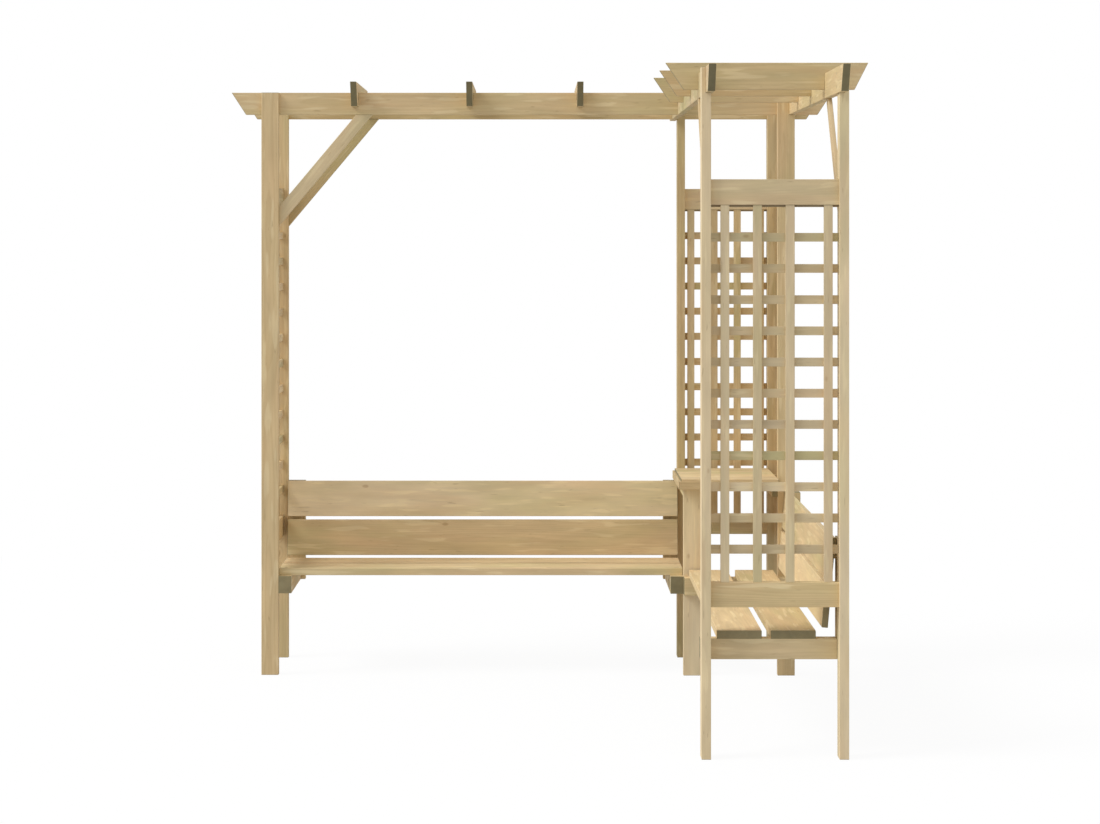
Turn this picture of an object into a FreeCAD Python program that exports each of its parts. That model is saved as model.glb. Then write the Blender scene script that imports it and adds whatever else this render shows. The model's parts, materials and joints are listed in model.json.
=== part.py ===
import FreeCAD, Part
import math
import os
import re
import Sketcher

# A corner arbour in softwood: two wings at a right angle under an open roof, a bench in each
# wing and a small table in the corner between them. The left wing runs along X and the right
# wing along Y. Millimetres, +Z up, origin at the middle of the footprint, on the ground.

doc = FreeCAD.newDocument("CornerArbour")

# Driving sizes
SIZES = (
    # footprint, from the tips of the roof beams
    ("beam_x_long", 2147),
    ("beam_y_long", 2242),
    ("left_wing_deep", 404),
    ("right_wing_deep", 418),
    ("left_overhang", 108),
    ("right_overhang", 133),
    ("front_overhang", 141),
    ("rear_overhang", 196.5),
    # posts, how far the beams are let into them and how far two stand in from the outer side beam
    ("post_wide", 61),
    ("post_thick", 28.5),
    ("front_housing", 13),
    ("rear_housing", 9),
    ("side_housing", 16),
    ("rear_left_housing", 3.5),
    ("corner_inset", 2.5),
    # roof beams
    ("beam_under", 2001.5),
    ("beam_high", 78.5),
    ("beam_thick", 22),
    ("beam_rake", 51),
    # rafters, placed from the left and front tips of the beams
    ("rafter_high", 84.5),
    ("rafter_thick", 22),
    ("rafter_inner_rake", 57),
    ("rafter_outer_rake", 43),
    ("rafter_lap", 25.5),
    ("rafter_out", 114.5),
    ("left_rafter_in", 118),
    ("right_rafter_in", 102.5),
    ("left_rafter_first", 431.5),
    ("left_rafter_second", 841.5),
    ("left_rafter_third", 1234.5),
    ("right_rafter_first", 486),
    ("right_rafter_second", 880),
    ("right_rafter_third", 1296),
    # knee braces
    ("brace_run", 335),
    ("brace_rise", 399),
    ("brace_wide", 45),
    ("brace_thick", 12),
    # panels between the posts
    ("rail_thick", 28),
    ("rail_tenon", 10),
    ("top_rail_under", 1665),
    ("top_rail_high", 77),
    ("top_rail_lip", 6.5),
    ("mid_rail_under", 455),
    ("mid_rail_high", 75),
    ("strip_wide", 26.3),
    ("strip_thick", 12),
    ("crossbar_pitch", 94),
    ("end_upright_first", 43),
    ("end_upright_pitch", 98),
    ("end_upright_last", 32),
    ("corner_upright_first", 24),
    # benches
    ("seat_high", 378.5),
    ("left_seat_setback", 20),
    ("right_seat_setback", 50),
    ("left_seat_end_gap", 1),
    ("right_seat_end_gap", 10),
    ("slat_wide", 136),
    ("slat_thick", 25),
    ("slat_gap", 27.5),
    ("slat_round", 2),
    ("bearer_wide", 46),
    ("bearer_high", 62),
    # bench backs
    ("back_under", 385),
    ("back_tilt", 5),
    ("back_board_wide", 131),
    ("back_board_thick", 19),
    ("back_board_gap", 12),
    ("back_board_round", 2),
    ("back_clear", 4),
    ("left_back_end_gap", 0.5),
    ("right_back_end_gap", 7.5),
    ("back_corner_gap", 1),
    ("support_far_wide", 63),
    ("support_corner_wide", 53),
    ("block_wide", 40),
    ("block_high", 60),
    ("low_block_rise", 67),
    ("high_block_rise", 208),
    # corner table
    ("table_high", 704),
    ("table_over_left", 18),
    ("table_over_front", 48),
    ("table_board_thick", 22),
    ("table_board_gap", 3),
    ("table_board_round", 2),
    ("trim_thick", 8),
    ("trim_high", 28.5),
    ("trim_drop", 8),
    ("ledger_high", 45),
    ("ledger_thick", 19),
    # wood screws
    ("screw_thick", 4.5),
    ("screw_head", 9),
    ("screw_sink", 3),
    ("screw_edge", 20),
    ("beam_screw", 32),
    ("seat_screw", 42),
    ("high_block_screw", 47),
    ("low_block_screw", 60),
    ("long_screw", 60),
    ("roof_screw", 85),
)

sheet = doc.addObject("Spreadsheet::Sheet", "Sizes")
for row, (alias, value) in enumerate(SIZES, 1):
    sheet.set(f"A{row}", alias)
    sheet.set(f"B{row}", str(value))
    sheet.setAlias(f"B{row}", alias)

TABLE_BOARDS = 4
CROSSBARS = 11
EVEN_UPRIGHTS = 3
CORNER_UPRIGHTS = 4

# An edge that turns less than this from a piece's length, in degrees, counts as a long one
LEAST_TURN = 1
# The least share of a timber that its notches must cut away
LEAST_CUT = 0.001

# Places worked out from the sizes
PLACES = (
    ("x_tip", "-beam_x_long / 2"),
    ("y_tip", "-beam_y_long / 2"),
    ("beam_top", "beam_under + beam_high"),
    ("outer_beam_x", "beam_x_long / 2 - right_overhang - beam_thick"),
    ("inner_beam_x", "outer_beam_x + beam_thick - right_wing_deep"),
    ("rear_beam_y", "beam_y_long / 2 - rear_overhang - beam_thick"),
    ("front_beam_y", "rear_beam_y + beam_thick - left_wing_deep"),
    ("rafter_under", "beam_top - 2 * rafter_lap"),
    ("left_rafter_y", "front_beam_y - left_rafter_in"),
    ("left_rafter_long", "left_rafter_in + left_wing_deep + rafter_out"),
    ("right_rafter_x", "inner_beam_x - right_rafter_in"),
    ("right_rafter_long", "right_rafter_in + right_wing_deep + rafter_out"),
    ("end_post_x", "x_tip + left_overhang"),
    ("end_front_post_y", "front_beam_y + front_housing - post_thick"),
    ("end_rear_post_y", "rear_beam_y + rear_housing - post_thick"),
    ("front_post_y", "y_tip + front_overhang"),
    ("front_left_post_x", "inner_beam_x + side_housing - post_thick"),
    ("front_right_post_x", "outer_beam_x + beam_thick - side_housing"),
    ("rear_left_post_x", "inner_beam_x + beam_thick - rear_left_housing"),
    ("corner_x", "outer_beam_x + beam_thick - corner_inset - post_wide"),
    ("corner_y", "end_rear_post_y"),
    ("middle_post_y", "front_beam_y - post_thick"),
    ("left_bench_x", "end_post_x + post_wide"),
    ("right_bench_y", "front_post_y + post_wide"),
    ("left_seat_y", "end_front_post_y + left_seat_setback"),
    ("right_seat_x", "front_left_post_x + right_seat_setback"),
    ("bearer_top", "seat_high - slat_thick"),
    ("bearer_under", "bearer_top - bearer_high"),
    ("brace_slant", "sqrt(brace_run ^ 2 + brace_rise ^ 2)"),
    ("brace_foot", "brace_wide * brace_slant / brace_run"),
    ("brace_head", "brace_wide * brace_slant / brace_rise"),
    ("lattice_low", "mid_rail_under + mid_rail_high"),
    ("lattice_high", "top_rail_under - lattice_low"),
    ("back_long", "2 * back_board_wide + back_board_gap"),
    ("back_foot", "back_board_thick * cos(back_tilt)"),
    ("back_deep", "back_foot + back_long * sin(back_tilt) + back_clear"),
    ("back_top", "back_under + back_long * cos(back_tilt)"),
    ("table_under", "table_high - table_board_thick"),
    ("table_x", "rear_left_post_x - table_over_left"),
    ("table_y", "middle_post_y - table_over_front"),
    ("table_board_wide",
     f"(corner_y - table_y - trim_thick - {TABLE_BOARDS - 1} * table_board_gap) / {TABLE_BOARDS}"),
    ("ledger_under", "table_under - ledger_high"),
)

KNOWN = {alias:"Sizes." + alias for alias, value in SIZES}
KNOWN.update({name: "Places." + name for name, text in PLACES})


def with_owner(text):
    """Put the sheet's or the list of places' name before each name in an expression."""
    return re.sub(r"[a-z]\w*", lambda word: KNOWN.get(word.group(), word.group()), str(text))


def bind(thing, where, text):
    thing.setExpression(where, with_owner(text))


places = doc.addObject("App::VarSet", "Places")
for name, text in PLACES:
    places.addProperty("App::PropertyFloat", name)
    bind(places, name, text)
doc.recompute()


def size(name):
    """The number behind a size or a place."""
    return float(getattr(sheet if KNOWN[name].startswith("Sizes") else places, name))


parts = []


def keep(thing, name):
    """Name a finished piece of the arbour."""
    thing.Label = name
    parts.append(thing)
    return thing


def locate(thing, low):
    for axis, text in zip("xyz", low):
        bind(thing, "Placement.Base." + axis, text)


def at(run, along, across, up):
    """Turn along, across and up into x, y and z for a piece that runs along x or y."""
    return (along, across, up) if run == "x" else (across, along, up)


def block(name, low, lengths):
    """A rectangular piece, from its lowest corner and its three lengths."""
    box = doc.addObject("Part::Box", name)
    for edge, text in zip(("Length", "Width", "Height"), lengths):
        bind(box, edge, text)
    locate(box, low)
    return box


def carve(name, blank, tools):
    """Cut each tool out of a blank in turn."""
    shape = blank
    for step, tool in enumerate(tools, 1):
        cut = doc.addObject("Part::Cut", f"{name}_cut_{step}")
        cut.Base = shape
        cut.Tool = tool
        shape = cut
    return shape


# Outlines drawn on a body's own planes
def new_sketch(body, plane, name):
    sketch = body.newObject("Sketcher::SketchObject", name)
    role = plane.upper() + "_Plane"
    sketch.AttachmentSupport = [(item, "") for item in body.Origin.OriginFeatures if item.Role == role]
    sketch.MapMode = "FlatFace"
    return sketch


def add_outline(sketch, corners):
    """Close straight lines through the corners and hold each corner by its two expressions."""
    first = sketch.GeometryCount
    count = len(corners)
    turn = 2 * math.pi / count
    start = [(2 + math.cos(turn * step), 2 + math.sin(turn * step)) for step in range(count)]
    for step in range(count):
        ends = [FreeCAD.Vector(*start[place % count], 0) for place in (step, step + 1)]
        sketch.addGeometry(Part.LineSegment(*ends), False)
    for step in range(count):
        following = first + (step + 1) % count
        sketch.addConstraint(Sketcher.Constraint("Coincident", first + step, 2, following, 1))
    for step, corner in enumerate(corners):
        for kind, axis, text, value in zip(("DistanceX", "DistanceY"), (-2, -1), corner, start[step]):
            line = first + step
            if text == "0":
                sketch.addConstraint(Sketcher.Constraint("PointOnObject", line, 1, axis))
                continue
            held = sketch.addConstraint(Sketcher.Constraint(kind, -1, 1, line, 1, value))
            bind(sketch, f"Constraints[{held}]", text)


def rectangle(low, high):
    return [(low[0], low[1]), (high[0], low[1]), (high[0], high[1]), (low[0], high[1])]


def prism(name, plane, corners, long, low, notches=(), rounded=None):
    """An outline on the xz or yz plane, drawn out along y or x, with notches cut right through."""
    body = doc.addObject("PartDesign::Body", name)
    pad = body.newObject("PartDesign::Pad", name + "_pad")
    outline = new_sketch(body, plane, name + "_outline")
    add_outline(outline, corners)
    pad.Profile = outline
    pad.Reversed = plane == "xz"
    bind(pad, "Length", long)
    body.Tip = pad
    if notches:
        doc.recompute()
        whole = body.Shape.Volume
        marks = new_sketch(body, plane, name + "_notches")
        for low_corner, high_corner in notches:
            add_outline(marks, rectangle(low_corner, high_corner))
        pocket = body.newObject("PartDesign::Pocket", name + "_pocket")
        pocket.Profile = marks
        pocket.Type = "ThroughAll"
        pocket.Reversed = plane == "yz"
        body.Tip = pocket
        doc.recompute()
        if body.Shape.Volume > whole * (1 - LEAST_CUT):
            raise RuntimeError(name + ": the notches cut nothing")
    if rounded:
        doc.recompute()
        way = FreeCAD.Vector(0, 1, 0) if plane == "xz" else FreeCAD.Vector(1, 0, 0)
        base = body.Tip
        long_edges = []
        for number, edge in enumerate(base.Shape.Edges, 1):
            turn = edge.tangentAt(edge.FirstParameter).getAngle(way)
            if math.degrees(min(turn, math.pi - turn)) < LEAST_TURN:
                long_edges.append(f"Edge{number}")
        fillet = body.newObject("PartDesign::Fillet", name + "_fillet")
        fillet.Base = (base, long_edges)
        bind(fillet, "Radius", rounded)
        body.Tip = fillet
    locate(body, low)
    return body


# Wood screws: countersunk head and plain shank, sunk flush
def screw(point, way, long):
    head = size("screw_head") / 2
    shank = size("screw_thick") / 2
    sink = size("screw_sink")
    cone = Part.makeCone(head, shank, sink, point, way)
    return cone.fuse(Part.makeCylinder(shank, long, point, way)).removeSplitter()


def screws(name, rows):
    """One node for a set of screws, each given by its head, its way and its length."""
    group = doc.addObject("Part::Feature", name)
    group.Shape = Part.makeCompound([screw(*row) for row in rows])
    return keep(group, name)


def point(run, along, across, up):
    return FreeCAD.Vector(*at(run, along, across, up))


UP = FreeCAD.Vector(0, 0, 1)
X_WAY = FreeCAD.Vector(1, 0, 0)
Y_WAY = FreeCAD.Vector(0, 1, 0)


def cross_way(run):
    return Y_WAY if run == "x" else X_WAY


BENCHES = {
    "left_bench": dict(
        run="x", far="left_bench_x", corner="rear_left_post_x", seat="left_seat_y",
        support="end_rear_post_y", far_bearer="end_front_post_y", corner_bearer="middle_post_y",
        end_gap="left_seat_end_gap", back_gap="left_back_end_gap"),
    "right_bench": dict(
        run="y", far="right_bench_y", corner="middle_post_y", seat="right_seat_x",
        support="front_right_post_x", far_bearer="front_left_post_x", corner_bearer="rear_left_post_x",
        end_gap="right_seat_end_gap", back_gap="right_back_end_gap"),
}


def seat_screw_rows(bench):
    """Two screws down through each slat into each bearer."""
    run = bench["run"]
    half = size("bearer_wide") / 2
    rows = []
    for along in (size(bench["far"]) + half, size(bench["corner"]) - half):
        for slat in range(2):
            edge = size(bench["seat"]) + slat * (size("slat_wide") + size("slat_gap"))
            for across in (edge + size("screw_edge"), edge + size("slat_wide") - size("screw_edge")):
                rows.append((point(run, along, across, size("seat_high")), -UP, size("seat_screw")))
    return rows


def back_screw_rows(bench):
    """From behind, two screws through each support and each of its blocks into the board in front."""
    run = bench["run"]
    half = size("block_wide") / 2
    behind = size(bench["support"]) + size("post_thick")
    rows = []
    for along in (size(bench["far"]) + size("support_far_wide") - half,
                  size(bench["corner"]) - size("support_corner_wide") + half):
        for rise, long in (("low_block_rise", "low_block_screw"), ("high_block_rise", "high_block_screw")):
            under = size("back_under") + size(rise)
            for up in (under + size("screw_edge"), under + size("block_high") - size("screw_edge")):
                rows.append((point(run, along, behind, up), -cross_way(run), size(long)))
    return rows


def support_screw_rows(bench):
    """From behind, one screw through each support into the end of its bearer, between other screws."""
    run = bench["run"]
    half = size("bearer_wide") / 2
    behind = size(bench["support"]) + size("post_thick")
    up = size("bearer_under") + size("bearer_high") / 2
    return [(point(run, along, behind, up), -cross_way(run), size("long_screw"))
            for along in (size(bench["far"]) + half, size(bench["corner"]) - half)]


def beam_screw_rows():
    """Two screws through each beam into each post that holds it, one above the other."""
    beam = size("beam_thick")
    ups = (size("beam_under") + size("screw_edge"), size("beam_top") - size("screw_edge"))
    side_y = size("front_post_y") + size("post_wide") / 2
    end_x = size("end_post_x") + size("post_wide") / 2
    front_inner = size("front_beam_y") + beam
    rear_inner = size("rear_beam_y") + beam
    middle_x = size("corner_x") + size("screw_edge")
    rear_left_x = size("rear_left_post_x") + size("post_thick") / 2
    rows = []
    for up in ups:
        rows.append((FreeCAD.Vector(size("inner_beam_x") + beam, side_y, up), -X_WAY, size("beam_screw")))
        rows.append((FreeCAD.Vector(size("outer_beam_x"), side_y, up), X_WAY, size("beam_screw")))
        for x, y in ((end_x, front_inner), (end_x, rear_inner), (middle_x, front_inner)):
            rows.append((FreeCAD.Vector(x, y, up), -Y_WAY, size("beam_screw")))
        rear_face = size("corner_y") + size("post_wide")
        for x in (rear_left_x, middle_x):
            rows.append((FreeCAD.Vector(x, rear_face, up), -Y_WAY, size("beam_screw")))
    return rows


def roof_screw_rows():
    """One long screw down through each rafter into each beam, and one through each beam crossing."""
    half = size("rafter_thick") / 2
    beam = size("beam_thick") / 2
    rafter_top = size("rafter_under") + size("rafter_high")
    rows = []
    for name in LEFT_RAFTERS:
        x = size("x_tip") + size(name) + half
        for y in (size("front_beam_y") + beam, size("rear_beam_y") + beam):
            rows.append((FreeCAD.Vector(x, y, rafter_top), -UP, size("roof_screw")))
    for name in RIGHT_RAFTERS:
        y = size("y_tip") + size(name) + half
        for x in (size("inner_beam_x") + beam, size("outer_beam_x") + beam):
            rows.append((FreeCAD.Vector(x, y, rafter_top), -UP, size("roof_screw")))
    for x in (size("inner_beam_x") + beam, size("outer_beam_x") + beam):
        for y in (size("front_beam_y") + beam, size("rear_beam_y") + beam):
            rows.append((FreeCAD.Vector(x, y, size("beam_top")), -UP, size("long_screw")))
    return rows


def bearer_screw_rows():
    """Two screws where each bearer meets its front post, and two more at the middle post."""
    ups = (size("bearer_under") + size("screw_edge"), size("bearer_top") - size("screw_edge"))
    wide = size("bearer_wide")
    end_y = size("end_front_post_y") + size("post_thick") / 2
    leg_y = size("middle_post_y") + size("post_thick") / 2
    side_x = size("front_left_post_x") + size("post_thick") / 2
    leg_x = size("rear_left_post_x") + size("post_wide") / 2
    middle_x = size("corner_x") + size("screw_edge")
    rows = []
    for up in ups:
        rows.append((FreeCAD.Vector(size("left_bench_x") + wide, end_y, up), -X_WAY, size("long_screw")))
        rows.append((FreeCAD.Vector(size("rear_left_post_x") - wide, leg_y, up), X_WAY, size("long_screw")))
        rows.append((FreeCAD.Vector(side_x, size("right_bench_y") + wide, up), -Y_WAY, size("long_screw")))
        for x in (leg_x + size("screw_edge"), middle_x):
            rows.append((FreeCAD.Vector(x, size("front_beam_y"), up), -Y_WAY, size("long_screw")))
    return rows


def table_screw_rows():
    """From below, one screw through each side ledger into each table board that lies over it."""
    middle = size("ledger_thick") / 2
    rows = []
    for x in (size("rear_left_post_x") + middle, size("corner_x") - middle):
        for board in range(TABLE_BOARDS):
            y = size("table_y") + size("trim_thick") + size("table_board_wide") * (board + 0.5)
            y += board * size("table_board_gap")
            if size("front_beam_y") < y < size("corner_y") - size("ledger_thick"):
                rows.append((FreeCAD.Vector(x, y, size("ledger_under")), UP, size("long_screw")))
    return rows


LEFT_RAFTERS = ("left_rafter_first", "left_rafter_second", "left_rafter_third")
RIGHT_RAFTERS = ("right_rafter_first", "right_rafter_second", "right_rafter_third")

seat_screws = screws("seat_screws", [row for bench in BENCHES.values() for row in seat_screw_rows(bench)])
back_screws = screws("back_screws", [row for bench in BENCHES.values()
                                     for row in back_screw_rows(bench) + support_screw_rows(bench)])
frame_screws = screws("frame_screws", beam_screw_rows() + roof_screw_rows() + bearer_screw_rows()
                      + table_screw_rows())


# Roof beams: raked ends, half laps where they cross and notches for the rafters
def raked(long, high, start_rake, end_rake):
    """The side view of a roof timber, longer at the top than below."""
    return [(start_rake, "0"), (f"{long} - {end_rake}", "0"), (long, high), ("0", high)]


def notch(start, wide, low, high):
    return (start, low), (f"{start} + {wide}", high)


def beam(name, run, across, long, tip, rafters, crossings, lap_low, lap_high):
    notches = [notch(rafter, "rafter_thick", "beam_high - rafter_lap", "beam_high") for rafter in rafters]
    notches += [notch(f"{crossing} - {tip}", "beam_thick", lap_low, lap_high) for crossing in crossings]
    blank = prism(name + "_timber", run + "z", raked(long, "beam_high", "beam_rake", "beam_rake"),
                  "beam_thick", at(run, tip, across, "beam_under"), notches)
    return keep(carve(name, blank, [frame_screws]), name)


SIDE_BEAMS = ("inner_beam_x", "outer_beam_x")
CROSS_BEAMS = ("front_beam_y", "rear_beam_y")
beam("front_beam", "x", "front_beam_y", "beam_x_long", "x_tip", LEFT_RAFTERS, SIDE_BEAMS,
     "beam_high / 2", "beam_high")
beam("rear_beam", "x", "rear_beam_y", "beam_x_long", "x_tip", LEFT_RAFTERS, SIDE_BEAMS,
     "beam_high / 2", "beam_high")
beam("inner_side_beam", "y", "inner_beam_x", "beam_y_long", "y_tip", RIGHT_RAFTERS, CROSS_BEAMS,
     "0", "beam_high / 2")
beam("outer_side_beam", "y", "outer_beam_x", "beam_y_long", "y_tip", RIGHT_RAFTERS, CROSS_BEAMS,
     "0", "beam_high / 2")


# Rafters, notched over the two beams of their wing
def rafter(name, run, start, long, across, beams):
    notches = [notch(f"{beam_edge} - {start}", "beam_thick", "0", "rafter_lap") for beam_edge in beams]
    blank = prism(name + "_timber", run + "z",
                  raked(long, "rafter_high", "rafter_inner_rake", "rafter_outer_rake"),
                  "rafter_thick", at(run, start, across, "rafter_under"), notches)
    keep(carve(name, blank, [frame_screws]), name)


for number, offset in enumerate(LEFT_RAFTERS, 1):
    rafter(f"left_rafter_{number}", "y", "left_rafter_y", "left_rafter_long",
           f"x_tip + {offset}", CROSS_BEAMS)
for number, offset in enumerate(RIGHT_RAFTERS, 1):
    rafter(f"right_rafter_{number}", "x", "right_rafter_x", "right_rafter_long",
           f"y_tip + {offset}", SIDE_BEAMS)


# Knee braces, from the inner face of an end post up to the underside of a beam
def brace(name, run, along, across):
    corners = [("0", "0"), ("brace_run", "brace_rise"), ("brace_run - brace_head", "brace_rise"),
               ("0", "brace_foot")]
    keep(prism(name, run + "z", corners, "brace_thick",
               at(run, along, across, "beam_under - brace_rise")), name)


brace("left_front_brace", "x", "left_bench_x", "front_beam_y")
brace("left_rear_brace", "x", "left_bench_x", "rear_beam_y + rear_housing - brace_thick")
brace("front_left_brace", "y", "right_bench_y", "inner_beam_x")
brace("front_right_brace", "y", "right_bench_y", "outer_beam_x + beam_thick - brace_thick")


# Panels: a top rail and a middle rail let into the posts, with a lattice between them
def rail_long(start, end):
    return f"{end} - ({start}) + 2 * rail_tenon"


def top_rail(name, run, start, end, across):
    """A rail whose rear half hangs lower, as a lip behind the uprights."""
    top = "top_rail_high + top_rail_lip"
    corners = [("0", "top_rail_lip"), ("rail_thick / 2", "top_rail_lip"), ("rail_thick / 2", "0"),
               ("rail_thick", "0"), ("rail_thick", top), ("0", top)]
    low = at(run, f"{start} - rail_tenon", across, "top_rail_under - top_rail_lip")
    return keep(prism(name, "yz" if run == "x" else "xz", corners, rail_long(start, end), low), name)


def middle_rail(name, run, start, end, across):
    return keep(block(name, at(run, f"{start} - rail_tenon", across, "mid_rail_under"),
                      at(run, rail_long(start, end), "rail_thick", "mid_rail_high")), name)


def strips(name, pieces):
    lattice = doc.addObject("Part::Compound", name)
    lattice.Links = pieces
    return keep(lattice, name)


def panel(name, run, start, end, across, centres):
    """Rails and lattice between two posts, from the start and end of the opening."""
    rails = (top_rail(name + "_top_rail", run, start, end, across),
             middle_rail(name + "_middle_rail", run, start, end, across))
    upright_face = f"{across} + rail_thick / 2 - strip_thick"
    uprights = [block(f"{name}_upright_{number}",
                      at(run, f"{start} + {centre} - strip_wide / 2", upright_face,
                         "lattice_low"),
                      at(run, "strip_wide", "strip_thick", "lattice_high"))
                for number, centre in enumerate(centres, 1)]
    first_bar = f"lattice_low + (lattice_high - {CROSSBARS - 1} * crossbar_pitch - strip_wide) / 2"
    crossbars = [block(f"{name}_crossbar_{number + 1}",
                       at(run, start, f"{across} + rail_thick / 2",
                          f"{first_bar} + {number} * crossbar_pitch"),
                       at(run, f"{end} - ({start})", "strip_thick", "strip_wide"))
                 for number in range(CROSSBARS)]
    strips(name + "_uprights", uprights)
    strips(name + "_crossbars", crossbars)
    return rails


def end_centres(span):
    """Evenly spaced uprights, then a last one set from the far post."""
    steps = [f"end_upright_first + {number} * end_upright_pitch" for number in range(EVEN_UPRIGHTS)]
    return steps + [f"{span} - end_upright_last"]


def corner_centres(span):
    gap = f"({span} - 2 * corner_upright_first) / {CORNER_UPRIGHTS - 1}"
    return [f"corner_upright_first + {number} * {gap}" for number in range(CORNER_UPRIGHTS)]


rail_inset = "(post_wide - rail_thick) / 2"
front_rails = panel(
    "front_panel", "x", "front_left_post_x + post_thick", "front_right_post_x",
    f"front_post_y + {rail_inset}",
    end_centres("(front_right_post_x - front_left_post_x - post_thick)"))
left_rails = panel(
    "left_panel", "y", "end_front_post_y + post_thick", "end_rear_post_y", f"end_post_x + {rail_inset}",
    end_centres("(end_rear_post_y - end_front_post_y - post_thick)"))
rear_rails = panel(
    "rear_panel", "x", "rear_left_post_x + post_thick", "corner_x", "corner_y + post_wide - rail_thick",
    corner_centres("(corner_x - rear_left_post_x - post_thick)"))
right_rails = panel(
    "right_panel", "y", "front_beam_y", "corner_y", "corner_x + post_wide - rail_thick",
    corner_centres("(corner_y - front_beam_y)"))


# Posts, cut for the beams that pass through them, for the rails and for the screws
def beam_space(name, run, across, tip, long):
    return block(name, at(run, tip, across, "beam_under"), at(run, long, "beam_thick", "beam_high"))


beam_spaces = doc.addObject("Part::MultiFuse", "beam_spaces")
beam_spaces.Shapes = [
    beam_space("front_beam_space", "x", "front_beam_y", "x_tip", "beam_x_long"),
    beam_space("rear_beam_space", "x", "rear_beam_y", "x_tip", "beam_x_long"),
    beam_space("inner_beam_space", "y", "inner_beam_x", "y_tip", "beam_y_long"),
    beam_space("outer_beam_space", "y", "outer_beam_x", "y_tip", "beam_y_long"),
]


def post(name, x, y, wide_x, wide_y, rails):
    blank = block(name + "_blank", (x, y, "0"), (wide_x, wide_y, "beam_top"))
    keep(carve(name, blank, [beam_spaces, *rails, frame_screws]), name)


post("left_end_front_post", "end_post_x", "end_front_post_y", "post_wide", "post_thick", left_rails)
post("left_end_rear_post", "end_post_x", "end_rear_post_y", "post_wide", "post_thick", left_rails)
post("front_left_post", "front_left_post_x", "front_post_y", "post_thick", "post_wide", front_rails)
post("front_right_post", "front_right_post_x", "front_post_y", "post_thick", "post_wide", front_rails)
post("rear_left_post", "rear_left_post_x", "corner_y", "post_thick", "post_wide", rear_rails)
post("right_middle_post", "corner_x", "middle_post_y", "post_wide", "post_thick", right_rails)
post("corner_post", "corner_x", "corner_y", "post_wide", "post_wide", rear_rails + right_rails)
leg_blank = block("table_leg_blank", ("rear_left_post_x", "middle_post_y", "0"),
                  ("post_wide", "post_thick", "table_under"))
keep(carve("table_leg", leg_blank, [frame_screws]), "table_leg")


# Benches: two bearers, two seat slats, and a leaning back held off two supports by wedge blocks
def leaning(start, end):
    """Corners of a back board's section, from the foot of the back and its front face there."""
    def corner(rise, forward):
        return (f"(back_board_thick - {forward}) * cos(back_tilt) + ({rise}) * sin(back_tilt)",
                f"({rise}) * cos(back_tilt) + {forward} * sin(back_tilt)")
    return [corner(start, "back_board_thick"), corner(start, "0"),
            corner(end, "0"), corner(end, "back_board_thick")]


def wedge(under):
    """Corners of a block's section, between the leaning boards and the upright support."""
    top = f"{under} + block_high"
    return [(f"back_foot + ({under}) * tan(back_tilt)", under), ("back_deep", under),
            ("back_deep", top), (f"back_foot + ({top}) * tan(back_tilt)", top)]


def bench(name, run, far, corner, seat, support, far_bearer, corner_bearer, end_gap, back_gap):
    section = "yz" if run == "x" else "xz"
    seat_long = f"{corner} - {far} - {end_gap}"

    for end, along, front in (("far", far, far_bearer),
                              ("corner", f"{corner} - bearer_wide", corner_bearer)):
        blank = block(f"{name}_{end}_bearer_blank", at(run, along, front, "bearer_under"),
                      at(run, "bearer_wide", f"{support} - {front}", "bearer_high"))
        piece = f"{name}_{end}_bearer"
        keep(carve(piece, blank, [frame_screws, seat_screws, back_screws]), piece)

    for number, place in enumerate(("front", "rear")):
        piece = f"{name}_{place}_slat"
        blank = prism(piece + "_board", section,
                      rectangle(("0", "0"), ("slat_wide", "slat_thick")), seat_long,
                      at(run, far, f"{seat} + {number} * (slat_wide + slat_gap)", "bearer_top"),
                      rounded="slat_round")
        keep(carve(piece, blank, [seat_screws]), piece)

    back_face = f"{support} - back_deep"
    for number, place in enumerate(("lower", "upper")):
        piece = f"{name}_{place}_back_board"
        foot = f"{number} * (back_board_wide + back_board_gap)"
        blank = prism(piece + "_board", section, leaning(foot, foot + " + back_board_wide"),
                      f"{corner} - {far} - {back_gap} - back_corner_gap",
                      at(run, f"{far} + {back_gap}", back_face, "back_under"),
                      rounded="back_board_round")
        keep(carve(piece, blank, [back_screws]), piece)

    ends = (("far", far, "support_far_wide", f"{far} + support_far_wide - block_wide"),
            ("corner", f"{corner} - support_corner_wide", "support_corner_wide",
             f"{corner} - support_corner_wide"))
    blocks = []
    supports = []
    for end, support_start, support_wide, block_start in ends:
        for place in ("low", "high"):
            piece = f"{name}_{end}_{place}_block"
            blank = prism(piece + "_blank", section, wedge(place + "_block_rise"), "block_wide",
                          at(run, block_start, back_face, "back_under"))
            blocks.append(carve(piece, blank, [back_screws]))
        blank = block(f"{name}_{end}_support_blank", at(run, support_start, support, "bearer_under"),
                      at(run, support_wide, "post_thick", "back_top - bearer_under"))
        supports.append(carve(f"{name}_{end}_support", blank, [back_screws]))
    strips(name + "_back_blocks", blocks)
    strips(name + "_back_supports", supports)


for bench_name, bench_places in BENCHES.items():
    bench(bench_name, **bench_places)


# Corner table: boards along X on three ledgers, with a thin trim in front and at the left
table_boards = []
for number in range(TABLE_BOARDS):
    blank = prism(f"table_board_{number + 1}_blank", "yz",
                  rectangle(("0", "0"), ("table_board_wide", "table_board_thick")),
                  "corner_x - table_x - trim_thick",
                  ("table_x + trim_thick",
                   f"table_y + trim_thick + {number} * (table_board_wide + table_board_gap)", "table_under"),
                  rounded="table_board_round")
    table_boards.append(carve(f"table_board_{number + 1}", blank, [frame_screws]))
strips("table_boards", table_boards)

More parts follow.
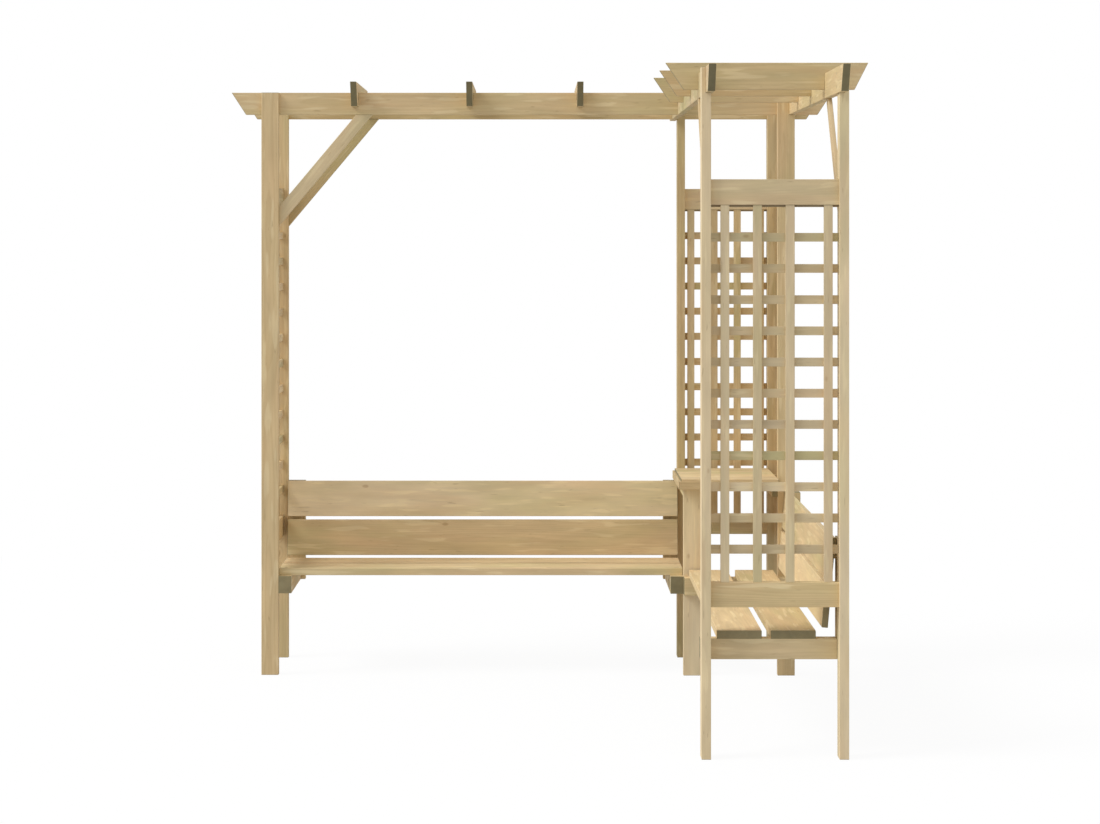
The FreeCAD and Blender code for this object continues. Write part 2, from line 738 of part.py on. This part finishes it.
trim_under = "table_high - trim_drop - trim_high"
strips("table_trims", [
    block("table_front_trim", ("table_x", "table_y", trim_under),
          ("corner_x - table_x", "trim_thick", "trim_high")),
    block("table_left_trim", ("table_x", "table_y + trim_thick", trim_under),
          ("trim_thick", "corner_y - table_y - trim_thick", "trim_high")),
])

ledger_front = "corner_y - ledger_thick"
ledgers = (
    ("rear", ("rear_left_post_x", ledger_front),
     ("corner_x + post_wide - rail_thick - rear_left_post_x", "ledger_thick")),
    ("left", ("rear_left_post_x", "front_beam_y"), ("ledger_thick", f"{ledger_front} - front_beam_y")),
    ("right", ("corner_x - ledger_thick", "middle_post_y"),
     ("ledger_thick", f"{ledger_front} - middle_post_y")),
)
strips("table_ledgers", [
    carve(f"table_{place}_ledger",
          block(f"table_{place}_ledger_blank", (*low, "ledger_under"), (*lengths, "ledger_high")),
          [frame_screws])
    for place, low, lengths in ledgers])


# Checks, then one file for each piece
doc.recompute()
for thing in doc.Objects:
    if "Invalid" in thing.State or "Error" in thing.State:
        raise RuntimeError(f"{thing.Label}: {thing.State}")

os.makedirs("parts", exist_ok=True)
for part in parts:
    shape = part.Shape
    if shape.isNull() or not shape.isValid() or not shape.Solids:
        raise RuntimeError(f"{part.Label}: no valid solid")
    shape.exportStep(f"parts/{part.Label}.step")
    print(part.Label, len(shape.Solids), round(shape.Volume))
print(len(parts), "pieces")
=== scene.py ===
import json
import math
import random
import zlib

import bmesh
import bpy
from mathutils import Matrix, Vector


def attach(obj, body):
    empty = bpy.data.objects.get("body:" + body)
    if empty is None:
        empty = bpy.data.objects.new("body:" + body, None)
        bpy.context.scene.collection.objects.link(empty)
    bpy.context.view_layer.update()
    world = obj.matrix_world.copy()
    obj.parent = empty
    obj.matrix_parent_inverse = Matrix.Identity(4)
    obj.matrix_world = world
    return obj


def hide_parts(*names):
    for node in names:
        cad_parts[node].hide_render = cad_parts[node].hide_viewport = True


# The looks of a corner arbour in pressure-treated softwood. Every timber is the frame's own solid
# with eased edges, and carries its own grain. Metres, +Z up.

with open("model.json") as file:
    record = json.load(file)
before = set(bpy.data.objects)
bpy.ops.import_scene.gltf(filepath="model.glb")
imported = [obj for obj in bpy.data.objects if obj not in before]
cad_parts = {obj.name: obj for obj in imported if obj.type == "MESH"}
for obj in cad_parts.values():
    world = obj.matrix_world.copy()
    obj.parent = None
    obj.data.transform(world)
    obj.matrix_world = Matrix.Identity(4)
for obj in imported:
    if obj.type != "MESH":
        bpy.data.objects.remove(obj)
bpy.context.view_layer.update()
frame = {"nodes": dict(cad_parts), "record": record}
record = frame["record"]

# Timber pieces. Short edges away from the ends, such as those of screw holes, stay sharp.
WELD = 1e-5
FLAT_ANGLE = math.radians(0.5)
BEND_ANGLE = math.radians(2)
CORNER_ANGLE = math.radians(30)
LONG_EDGE = 0.008

# How squarely a face looks along the grain: at least so for an end and for the rounding beside it,
# and at most so for a side and for the rounding between two sides
END_FACING = 0.6
EASED_END_FACING = 0.3
SIDE_FACING = 0.1
LONG_FACING = 0.1

# How far edges are rounded
EASING = {"frame_timber": 0.0011, "board_timber": 0.0009, "lattice_timber": 0.0007}
EASING_STEPS = 2
ROUND = 0.5

# How far the middle of a board lies from its tree's pith: at least and at most through the board,
# and at most across it. Then the length of tree that boards come from.
PITH_NEAR = 0.025
PITH_FAR = 0.085
PITH_SIDE = 0.05
TREE_LONG = 40.0

# The pieces at the open front look more bleached in the photo than the rest
FRONT_PIECES = ("front_left_post", "front_right_post", "front_panel", "table_leg")
BLEACHED_FRONT = (0.65, 0.85)
BLEACHED_REST = (0.0, 0.30)

# Brightness, green tint and bleaching, set by name for pieces whose tone was off against the photo.
# A number picks one solid of a node, counted from the left or from the lowest. Most are the wood's
# own tone, but the first rear upright and the rear top rail are made brighter as painted light.
TONES_AND_PAINTED_LIGHT = {
    ("front_panel_crossbars", 0): (-0.9, 0.5, 0.6),
    ("front_panel_crossbars", 1): (-0.1, 0.4, 0.65),
    ("front_panel_crossbars", 5): (-0.3, 0.5, 0.7),
    ("front_panel_crossbars", 8): (-0.8, 0.3, 0.5),
    ("front_panel_crossbars", 9): (-1.2, 0.3, 0.5),
    ("front_panel_uprights", 0): (0.7, 0.2, 0.85),
    # Painted light: these two are made brighter against the shade of the post beside them
    ("rear_panel_uprights", 0): (1.6, 0.5, 0.8),
    "rear_panel_top_rail": (1.2, 0.5, 0.7),
    "corner_post": (-0.4, 0.5, 0.13),
    "front_right_brace": (-0.8, 0.6, 0.4),
    "front_left_post": (0.8, 0.2, 0.7),
    "front_right_post": (1.2, 0.5, 0.9),
    "front_panel_top_rail": (0.2, 0.5, 0.55),
    "front_panel_middle_rail": (0.8, 0.4, 0.1),
    "left_end_front_post": (0.3, 0.1, 0.15),
    "left_bench_front_slat": (0.5, 0.6, 0.3),
    "left_bench_upper_back_board": (1.4, 0.6, 0.8),
    "left_bench_lower_back_board": (0.1, 0.7, 0.3),
    "left_front_brace": (0.0, 0.5, 0.6),
    "right_rafter_1": (0.1, 0.5, 0.3),
    "right_bench_far_bearer": (-0.1, 0.3, 0.4),
    "right_bench_lower_back_board": (0.9, 0.3, 0.4),
    "table_leg": (0.8, 0.3, 0.9),
    "table_trims": (-1.2, 0.2, 0.1),
}

# In the photo the front ends of the side beams and left rafters are dark, and the left ends of the
# right rafters are faint lines at most. The other two beams' ends don't show and are made as dark.
DARK_ENDED = ("left_rafter", "front_beam", "rear_beam", "inner_side_beam", "outer_side_beam")
PALE_ENDED = ("right_rafter",)
DARK_END = 0.97
PALE_END = 0.45
OTHER_END = 0.85

# Sizes are rounded before they are compared, so that equal ones tie in the same way each run
PLACE_DIGITS = 4
LENGTH_DIGITS = 5
AREA_DIGITS = 7


def facing_up(way):
    """The same line, pointing the positive way along its largest part."""
    largest = max(range(3), key=lambda axis: abs(way[axis]))
    return way if way[largest] > 0 else -way


def separate_solids(node):
    """One bmesh for each solid of a node, in order of place."""
    whole = bmesh.new()
    whole.from_mesh(node.data)
    bmesh.ops.remove_doubles(whole, verts=whole.verts, dist=WELD)
    bmesh.ops.dissolve_limit(whole, angle_limit=FLAT_ANGLE, verts=whole.verts, edges=whole.edges)
    whole.verts.index_update()
    whole.faces.index_update()
    seen = set()
    solids = []
    for start in whole.faces:
        if start.index in seen:
            continue
        seen.add(start.index)
        waiting = [start]
        solid = bmesh.new()
        corners = {}
        while waiting:
            face = waiting.pop()
            for vert in face.verts:
                if vert.index not in corners:
                    corners[vert.index] = solid.verts.new(vert.co)
            solid.faces.new([corners[vert.index] for vert in face.verts])
            for edge in face.edges:
                if len(edge.link_faces) != 2:
                    continue
                for other in edge.link_faces:
                    if other.index not in seen:
                        seen.add(other.index)
                        waiting.append(other)
        bmesh.ops.recalc_face_normals(solid, faces=solid.faces)
        solids.append(solid)
    whole.free()
    return sorted(solids, key=lambda solid: [round(value, PLACE_DIGITS) for value in middle(solid)])


def middle(solid):
    """The mean of a solid's corners."""
    total = Vector()
    for vert in solid.verts:
        total += vert.co
    return total / len(solid.verts)


def board_axes(solid):
    """Along the grain, across the wide face and through the thickness."""
    real = [edge for edge in solid.edges if edge.calc_face_angle(0.0) > BEND_ANGLE]
    longest = max(real, key=lambda edge: round(edge.calc_length(), LENGTH_DIGITS))
    along = facing_up((longest.verts[1].co - longest.verts[0].co).normalized())
    sides = [face for face in solid.faces if abs(face.normal.dot(along)) < SIDE_FACING]
    widest = max(sides, key=lambda face: round(face.calc_area(), AREA_DIGITS))
    through = facing_up(widest.normal.copy())
    return along, through.cross(along).normalized(), through


def mark_painted_shade(solid):
    """Mark faces at inner corners, like the band under a top rail, for painted shade; return the mark.
    """
    mark = solid.faces.layers.int.new("sheltered")
    for edge in solid.edges:
        if len(edge.link_faces) == 2 and not edge.is_convex and edge.calc_face_angle() > CORNER_ANGLE:
            for face in edge.link_faces:
                face[mark] = 1
    return mark


def ease_edges(solid, along, width):
    """Round the outer edges a little, and return the faces made."""
    picked = []
    for edge in solid.edges:
        if len(edge.link_faces) != 2 or not edge.is_convex or edge.calc_face_angle() < CORNER_ANGLE:
            continue
        at_end = any(abs(face.normal.dot(along)) > END_FACING for face in edge.link_faces)
        if at_end or edge.calc_length() > LONG_EDGE:
            picked.append(edge)
    made = bmesh.ops.bevel(solid, geom=picked, offset=width, offset_type="OFFSET",
                           segments=EASING_STEPS, profile=ROUND, affect="EDGES", clamp_overlap=False)
    solid.normal_update()
    return set(made["faces"])


def end_darkness(name):
    """How far the ends of a piece have gone to the dark end colour."""
    if name.startswith(PALE_ENDED):
        return PALE_END
    return DARK_END if name.startswith(DARK_ENDED) else OTHER_END


def place_in_tree(chance):
    """Where the middle of a board lies in its tree: along, across and through the board."""
    return Vector((chance.uniform(0, TREE_LONG),
                   chance.uniform(-PITH_SIDE, PITH_SIDE),
                   chance.choice((-1, 1)) * chance.uniform(PITH_NEAR, PITH_FAR)))


def board_tone(name, number, chance):
    """Brightness, green tint and bleaching of one board."""
    front = name.startswith(FRONT_PIECES)
    bleached = chance.uniform(*(BLEACHED_FRONT if front else BLEACHED_REST))
    bright = chance.uniform(-1, 1)
    green = chance.uniform(0, 1)
    return TONES_AND_PAINTED_LIGHT.get((name, number), TONES_AND_PAINTED_LIGHT.get(name, (bright, green, bleached)))


def put(mesh, name, kind, domain, values):
    """Store one value for each point or face, where the shader can read it by name."""
    layer = mesh.attributes.new(name, kind, domain)
    if kind == "FLOAT_VECTOR":
        layer.data.foreach_set("vector", [part for value in values for part in value])
    else:
        layer.data.foreach_set("value", values)


def timber(node, slot, material):
    """A node's solids with eased edges, each with its own grain, tone and place in a tree."""
    points, polygons, grain, board, ends, worn, sheltered = [], [], [], [], [], [], []
    end_share = end_darkness(node.name)
    for number, solid in enumerate(separate_solids(node)):
        chance = random.Random(zlib.crc32(f"{node.name} {number}".encode()))
        along, across, through = board_axes(solid)
        centre = middle(solid)
        pith = place_in_tree(chance)
        tone = board_tone(node.name, number, chance)
        # Faces at inner corners are marked here for painted shade
        mark = mark_painted_shade(solid)
        eased = ease_edges(solid, along, EASING[slot])
        first = len(points)
        solid.verts.index_update()
        for vert in solid.verts:
            offset = vert.co - centre
            points.append(vert.co.copy())
            grain.append(pith + Vector((offset.dot(along), offset.dot(across), offset.dot(through))))
            board.append(tone)
        for face in solid.faces:
            polygons.append([first + vert.index for vert in face.verts])
            facing = abs(face.normal.dot(along))
            at_end = facing > (EASED_END_FACING if face in eased else END_FACING)
            ends.append(end_share if at_end else 0.0)
            worn.append(1.0 if face in eased and facing < LONG_FACING else 0.0)
            sheltered.append(float(face[mark]))
        solid.free()
    mesh = bpy.data.meshes.new(node.name + "_timber")
    mesh.from_pydata(points, [], polygons)
    put(mesh, "grain", "FLOAT_VECTOR", "POINT", grain)
    put(mesh, "board", "FLOAT_VECTOR", "POINT", board)
    put(mesh, "end_grain", "FLOAT", "FACE", ends)
    put(mesh, "worn", "FLOAT", "FACE", worn)
    put(mesh, "sheltered", "FLOAT", "FACE", sheltered)
    mesh.materials.append(material)
    piece = bpy.data.objects.new(node.name + "_timber", mesh)
    bpy.context.scene.collection.objects.link(piece)
    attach(piece, "root")
    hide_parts(node.name)


# Shader helpers. The Mix node has sockets for other kinds of value before those for colours.
MIX_FACTOR = 0
MIX_LOW = 6
MIX_HIGH = 7
MIX_RESULT = 2

# How many finer layers a noise holds
SOFT = 1.0
EVEN = 2.0
FINE = 3.0
NOISE_MIDDLE = 0.5


def empty_material(name):
    """A new material, with no shader nodes yet."""
    material = bpy.data.materials.new(name)
    material.use_nodes = True
    material.node_tree.nodes.clear()
    return material


def add_node(tree, kind, inputs=None, **settings):
    """A shader node. An input given as a socket is linked, and any other is set."""
    made = tree.nodes.new(kind)
    for name, value in settings.items():
        setattr(made, name, value)
    for name, value in (inputs or {}).items():
        if isinstance(value, bpy.types.NodeSocket):
            tree.links.new(value, made.inputs[name])
        else:
            made.inputs[name].default_value = value
    return made


def attribute(tree, name, output="Fac"):
    """What put has stored on the mesh by that name."""
    return add_node(tree, "ShaderNodeAttribute", attribute_name=name).outputs[output]


def calc(tree, operation, *values):
    """The result of a sum on plain values."""
    return add_node(tree, "ShaderNodeMath", dict(enumerate(values)), operation=operation).outputs[0]


def calc_vector(tree, operation, *values):
    """The result of a sum on vectors, or the length of one."""
    made = add_node(tree, "ShaderNodeVectorMath", dict(enumerate(values)), operation=operation)
    return made.outputs["Value" if operation == "LENGTH" else "Vector"]


def noise(tree, place, stretch, detail=EVEN):
    """Noise that repeats about as often in each direction as stretch says."""
    vector = calc_vector(tree, "MULTIPLY", place, stretch)
    return add_node(tree, "ShaderNodeTexNoise", {"Vector": vector, "Scale": 1.0, "Detail": detail})


def ease(tree, value, low, high, to_low=0.0, to_high=1.0):
    """A value taken smoothly from one range to another."""
    return add_node(tree, "ShaderNodeMapRange",
                    {"Value": value, "From Min": low, "From Max": high, "To Min": to_low,
                     "To Max": to_high}, interpolation_type="SMOOTHSTEP").outputs["Result"]


def blend_colour(tree, factor, low, high):
    """The first colour at a factor of 0 and the second at 1."""
    values = {MIX_FACTOR: factor, MIX_LOW: low, MIX_HIGH: high}
    return add_node(tree, "ShaderNodeMix", values, data_type="RGBA").outputs[MIX_RESULT]


def grey(value):
    """A linear colour from one linear value."""
    return value, value, value, 1.0


def colour(red, green, blue):
    """A linear colour from ordinary 0 to 255 screen values, by the sRGB curve."""
    def linear(value):
        part = value / 255
        return part / 12.92 if part <= 0.04045 else ((part + 0.055) / 1.055) ** 2.4
    return linear(red), linear(green), linear(blue), 1.0


# Pressure-treated pine. Late wood darkens slowly through a ring and stops short at its end.
RING_GAP = 0.0042
LATE_FADE = (0.30, 0.90)
LATE_STOP = (0.92, 1.0)

# Knots: how often they come, their size in that spacing, the share of it that is darkest,
# how many sizes out the rings swell, and by how much
KNOT_SPREAD = (4.5, 9.0, 9.0)
KNOT_SIZE = 0.07
KNOT_HEART = 0.45
KNOT_REACH = 3
KNOT_SWELL = 0.010

PALE = colour(216, 189, 142)
LATE = colour(189, 157, 107)
GREEN = colour(190, 182, 128)
WARM = colour(204, 172, 124)
PINK = colour(218, 181, 138)
BLEACHED = colour(223, 205, 171)
WISP = colour(238, 219, 176)
KNOT = colour(154, 114, 70)
FLECK = colour(150, 124, 84)
END = colour(123, 115, 85)
EDGE = colour(222, 202, 160)

# How often each pattern of the wood repeats in a metre, along, across and through the board.
# Bends move the rings by up to about half of their reach, and the shift sets blushes apart from patches.
BENDS = (1.4, 6.0, 6.0)
BEND_REACH = (0.0, 0.026, 0.026)
FIBRES = (9.0, 900.0, 900.0)
STREAKS = (1.6, 75.0, 75.0)
PATCHES = (2.2, 9.0, 9.0)
BLUSHES = (1.7, 13.0, 13.0)
BLUSH_SHIFT = (7.0, 3.0, 5.0)
MOTTLES = (5.0, 30.0, 30.0)
WISPS = (7.0, 55.0, 55.0)
FLECKS = (22.0, 150.0, 150.0)

# The values of its noise between which each fades in
STREAK_FADE = (0.45, 0.75)
GREEN_FADE = (0.35, 0.70)
PINK_FADE = (0.48, 0.72)
WISP_FADE = (0.58, 0.68)
FLECK_FADE = (0.68, 0.80)

# How strongly each shows
LATE_SHARE = 0.38
STREAK_SHARE = 0.40
GREEN_SHARE = 0.70
PINK_SHARE = 0.30
WISP_SHARE = 0.40
FLECK_SHARE = 0.35
KNOT_SHARE = 0.40
EDGE_SHARE = 0.12
# Painted shade: how much darker the faces at inner corners are made
PAINTED_SHADE_SHARE = 0.50
TONE_RANGE = 0.10
FIBRE_RANGE = 0.16

# Relief, in which late wood counts for less than fibres, and sheen, in which fibres count for less
LATE_RELIEF = 0.6
FIBRE_SHEEN = 0.5
BUMP_STRENGTH = 0.35
BUMP_DEPTH = 0.0004
ROUGH_EARLY = 0.78
ROUGH_LATE = 0.60
WOOD_SPECULAR = 0.3

# The name of each wood, its ring gap as a share of the usual one, and how mottled it is
WOODS = {
    "frame_timber": ("frame_pine", 1.0, 0.45),
    "board_timber": ("board_pine", 1.15, 0.45),
    "lattice_timber": ("lattice_pine", 0.85, 0.40),
}


def rings_and_knots(tree, grain, ring_gap):
    """The bent place in the tree, and how much late wood and how much of a knot shows there."""
    cells = calc_vector(tree, "MULTIPLY", grain, KNOT_SPREAD)
    away = add_node(tree, "ShaderNodeTexVoronoi", {"Vector": cells, "Scale": 1.0}).outputs["Distance"]
    knot = ease(tree, away, KNOT_SIZE * KNOT_HEART, KNOT_SIZE, KNOT_SHARE, 0.0)
    swell = ease(tree, away, 0.0, KNOT_SIZE * KNOT_REACH, KNOT_SWELL, 0.0)

    bend = noise(tree, grain, BENDS).outputs["Color"]
    bend = calc_vector(tree, "SUBTRACT", bend, (NOISE_MIDDLE,) * 3)
    wavy = calc_vector(tree, "ADD", grain, calc_vector(tree, "MULTIPLY", bend, BEND_REACH))
    bent = calc_vector(tree, "MULTIPLY", wavy, (0.0, 1.0, 1.0))
    radius = calc(tree, "ADD", calc_vector(tree, "LENGTH", bent), swell)
    ring = calc(tree, "FRACT", calc(tree, "DIVIDE", radius, ring_gap))
    stop = ease(tree, ring, *LATE_STOP, 1.0, 0.0)
    late = calc(tree, "MULTIPLY", ease(tree, ring, *LATE_FADE), stop)
    return wavy, late, knot


def wood_colour(tree, grain, wavy, late, knot, tones):
    """The colour of the wood, its ends and its worn edges, at an even brightness."""
    streaks = noise(tree, wavy, STREAKS).outputs["Fac"]
    patches = noise(tree, wavy, PATCHES).outputs["Fac"]
    blushes = noise(tree, calc_vector(tree, "ADD", wavy, BLUSH_SHIFT), BLUSHES).outputs["Fac"]
    wisps = noise(tree, wavy, WISPS, SOFT).outputs["Fac"]
    flecks = noise(tree, grain, FLECKS, SOFT).outputs["Fac"]

    surface = blend_colour(tree, calc(tree, "MULTIPLY", late, LATE_SHARE), PALE, LATE)
    surface = blend_colour(tree, ease(tree, streaks, *STREAK_FADE, 0.0, STREAK_SHARE), surface, WARM)
    surface = blend_colour(tree, tones["Z"], surface, BLEACHED)
    tint = calc(tree, "MULTIPLY", ease(tree, patches, *GREEN_FADE, 0.0, GREEN_SHARE), tones["Y"])
    surface = blend_colour(tree, tint, surface, GREEN)
    surface = blend_colour(tree, ease(tree, blushes, *PINK_FADE, 0.0, PINK_SHARE), surface, PINK)
    surface = blend_colour(tree, ease(tree, wisps, *WISP_FADE, 0.0, WISP_SHARE), surface, WISP)
    surface = blend_colour(tree, ease(tree, flecks, *FLECK_FADE, 0.0, FLECK_SHARE), surface, FLECK)
    surface = blend_colour(tree, attribute(tree, "end_grain"), surface, END)
    surface = blend_colour(tree, knot, surface, KNOT)
    worn = calc(tree, "MULTIPLY", attribute(tree, "worn"), EDGE_SHARE)
    return blend_colour(tree, worn, surface, EDGE)


def wood_brightness(tree, wavy, fibres, mottled, tone):
    """How bright the wood is, by its board, its fibres, its mottles and painted shade at inner corners.
    """
    mottles = noise(tree, wavy, MOTTLES, FINE).outputs["Fac"]
    bright = calc(tree, "ADD", 1.0, calc(tree, "MULTIPLY", tone, TONE_RANGE))
    for pattern, reach in ((fibres, FIBRE_RANGE), (mottles, mottled)):
        lift = calc(tree, "MULTIPLY", calc(tree, "SUBTRACT", pattern, NOISE_MIDDLE), reach)
        bright = calc(tree, "ADD", bright, lift)
    # Painted shade: faces at inner corners are made darker
    shade = calc(tree, "MULTIPLY", attribute(tree, "sheltered"), PAINTED_SHADE_SHARE)
    return calc(tree, "MULTIPLY", bright, calc(tree, "SUBTRACT", 1.0, shade))


def pine(name, ring_gap, mottled):
    """Softwood cut from a tree: yearly rings about a pith, fibres, streaks and knots."""
    material = empty_material(name)
    tree = material.node_tree
    grain = attribute(tree, "grain", "Vector")
    board = attribute(tree, "board", "Vector")
    tones = add_node(tree, "ShaderNodeSeparateXYZ", {"Vector": board}).outputs
    wavy, late, knot = rings_and_knots(tree, grain, ring_gap)
    fibres = noise(tree, grain, FIBRES, FINE).outputs["Fac"]
    surface = calc_vector(tree, "SCALE", wood_colour(tree, grain, wavy, late, knot, tones))
    bright = wood_brightness(tree, wavy, fibres, mottled, tones["X"])
    tree.links.new(bright, surface.node.inputs["Scale"])

    height = calc(tree, "ADD", calc(tree, "MULTIPLY", late, LATE_RELIEF), fibres)
    bump = add_node(tree, "ShaderNodeBump",
                    {"Height": height, "Strength": BUMP_STRENGTH, "Distance": BUMP_DEPTH})
    sheen = calc(tree, "ADD", late, calc(tree, "MULTIPLY", fibres, FIBRE_SHEEN))
    rough = ease(tree, sheen, 0.0, 1.0 + FIBRE_SHEEN, ROUGH_EARLY, ROUGH_LATE)
    shader = add_node(tree, "ShaderNodeBsdfPrincipled", {
        "Base Color": surface, "Roughness": rough, "Normal": bump.outputs["Normal"],
        "Specular IOR Level": WOOD_SPECULAR})
    add_node(tree, "ShaderNodeOutputMaterial", {"Surface": shader.outputs["BSDF"]})
    return material


# Plated steel
STEEL_MARKS = (900.0, 900.0, 900.0)
STEEL_DARK = colour(176, 166, 128)
STEEL_PALE = colour(206, 198, 164)
STEEL_BUMP_STRENGTH = 0.2
STEEL_BUMP_DEPTH = 0.0001
STEEL_FADE = (0.2, 0.8)
STEEL_ROUGHNESS = (0.32, 0.48)


def plated_steel():
    """Small screw heads, faintly yellow, with fine turning marks."""
    material = empty_material("plated_steel")
    tree = material.node_tree
    place = add_node(tree, "ShaderNodeTexCoord").outputs["Object"]
    marks = noise(tree, place, STEEL_MARKS, FINE).outputs["Fac"]
    surface = blend_colour(tree, marks, STEEL_DARK, STEEL_PALE)
    bump = add_node(tree, "ShaderNodeBump",
                    {"Height": marks, "Strength": STEEL_BUMP_STRENGTH, "Distance": STEEL_BUMP_DEPTH})
    rough = ease(tree, marks, *STEEL_FADE, *STEEL_ROUGHNESS)
    shader = add_node(tree, "ShaderNodeBsdfPrincipled", {
        "Base Color": surface, "Metallic": 1.0, "Roughness": rough, "Normal": bump.outputs["Normal"]})
    add_node(tree, "ShaderNodeOutputMaterial", {"Surface": shader.outputs["BSDF"]})
    return material


materials = {slot: pine(name, RING_GAP * gap, mottled)
             for slot, (name, gap, mottled) in WOODS.items()}
steel = plated_steel()
slots = {part["node"]: part["material_slot"] for part in record["subparts"]}
for name, node in sorted(frame["nodes"].items()):
    if slots[name] in materials:
        timber(node, slots[name], materials[slots[name]])
    else:
        node.data.materials.clear()
        node.data.materials.append(steel)


# Floor and background, white to the camera and calmer as a source of light
FLOOR_HALF = 30.0
FLOOR_NEAR = 2.2
FLOOR_FAR = 4.5
FLOOR_BOUNCE = 0.54
FLOOR_WHITE = 0.95
FLOOR_GLOW = 0.93
SKY_LIGHT = 0.63

# One soft lamp, from the upper left and a little in front
SUN_FROM = (-0.694, -0.185, 0.694)
SUN_STRENGTH = 0.648
SUN_SPREAD = math.radians(26)


def seen_directly(tree):
    """1 for rays from the camera and for mirrored or transmitted ones, and 0 for the rest."""
    rays = add_node(tree, "ShaderNodeLightPath").outputs
    seen = calc(tree, "MAXIMUM", rays["Is Camera Ray"], rays["Is Glossy Ray"])
    return calc(tree, "MAXIMUM", seen, rays["Is Transmission Ray"])


def make_floor():
    """A wide floor that keeps the shadow near the object and fades to white away from it."""
    mesh = bpy.data.meshes.new("floor")
    half = FLOOR_HALF
    corners = [(-half, -half, 0), (half, -half, 0), (half, half, 0), (-half, half, 0)]
    mesh.from_pydata(corners, [], [range(len(corners))])
    material = empty_material("floor")
    tree = material.node_tree
    place = add_node(tree, "ShaderNodeTexCoord").outputs["Object"]
    away = calc_vector(tree, "LENGTH", place)
    fade = ease(tree, away, FLOOR_NEAR, FLOOR_FAR, FLOOR_GLOW, 1.0)
    seen = seen_directly(tree)
    shade = blend_colour(tree, seen, grey(FLOOR_BOUNCE), grey(FLOOR_WHITE))
    matt = add_node(tree, "ShaderNodeBsdfDiffuse", {"Color": shade}).outputs["BSDF"]
    white = add_node(tree, "ShaderNodeEmission", {"Strength": 1.0}).outputs["Emission"]
    glow = calc(tree, "MULTIPLY", fade, seen)
    mixed = add_node(tree, "ShaderNodeMixShader", {0: glow, 1: matt, 2: white})
    add_node(tree, "ShaderNodeOutputMaterial", {"Surface": mixed.outputs["Shader"]})
    mesh.materials.append(material)
    floor = bpy.data.objects.new("floor", mesh)
    bpy.context.scene.collection.objects.link(floor)


def make_world():
    """A plain background, white to the camera and calmer as light."""
    world = bpy.data.worlds.new("studio")
    world.use_nodes = True
    tree = world.node_tree
    tree.nodes.clear()
    strength = ease(tree, seen_directly(tree), 0.0, 1.0, SKY_LIGHT, 1.0)
    sky = add_node(tree, "ShaderNodeBackground", {"Color": grey(1.0), "Strength": strength})
    add_node(tree, "ShaderNodeOutputWorld", {"Surface": sky.outputs["Background"]})
    bpy.context.scene.world = world


def make_sun():
    """A soft distant lamp. Its strength is the brightness of a white face square to it."""
    lamp = bpy.data.lights.new("key", "SUN")
    lamp.energy = SUN_STRENGTH * math.pi
    lamp.angle = SUN_SPREAD
    sun = bpy.data.objects.new("key", lamp)
    sun.rotation_mode = "QUATERNION"
    sun.rotation_quaternion = Vector(SUN_FROM).to_track_quat("Z", "Y")
    bpy.context.scene.collection.objects.link(sun)


make_floor()
make_world()
make_sun()

# Camera: level, square to the left wing, as the vanishing point of the photograph gives it
PHOTO_WIDE = 1100
PHOTO_HIGH = 824
FOCAL = 2600
VANISHING = (532.6, 229.3)
CAMERA_AT = (0.003, -8.780, 1.5915)
SENSOR_WIDE = 36

camera = bpy.data.objects.new("camera", bpy.data.cameras.new("camera"))
camera.data.sensor_width = SENSOR_WIDE
camera.data.lens = camera.data.sensor_width * FOCAL / PHOTO_WIDE
camera.data.shift_x = (PHOTO_WIDE / 2 - VANISHING[0]) / PHOTO_WIDE
camera.data.shift_y = (VANISHING[1] - PHOTO_HIGH / 2) / PHOTO_WIDE
camera.location = CAMERA_AT
camera.rotation_euler = (math.pi / 2, 0, 0)
bpy.context.scene.collection.objects.link(camera)
bpy.context.scene.camera = camera
bpy.context.scene.view_settings.view_transform = "Standard"
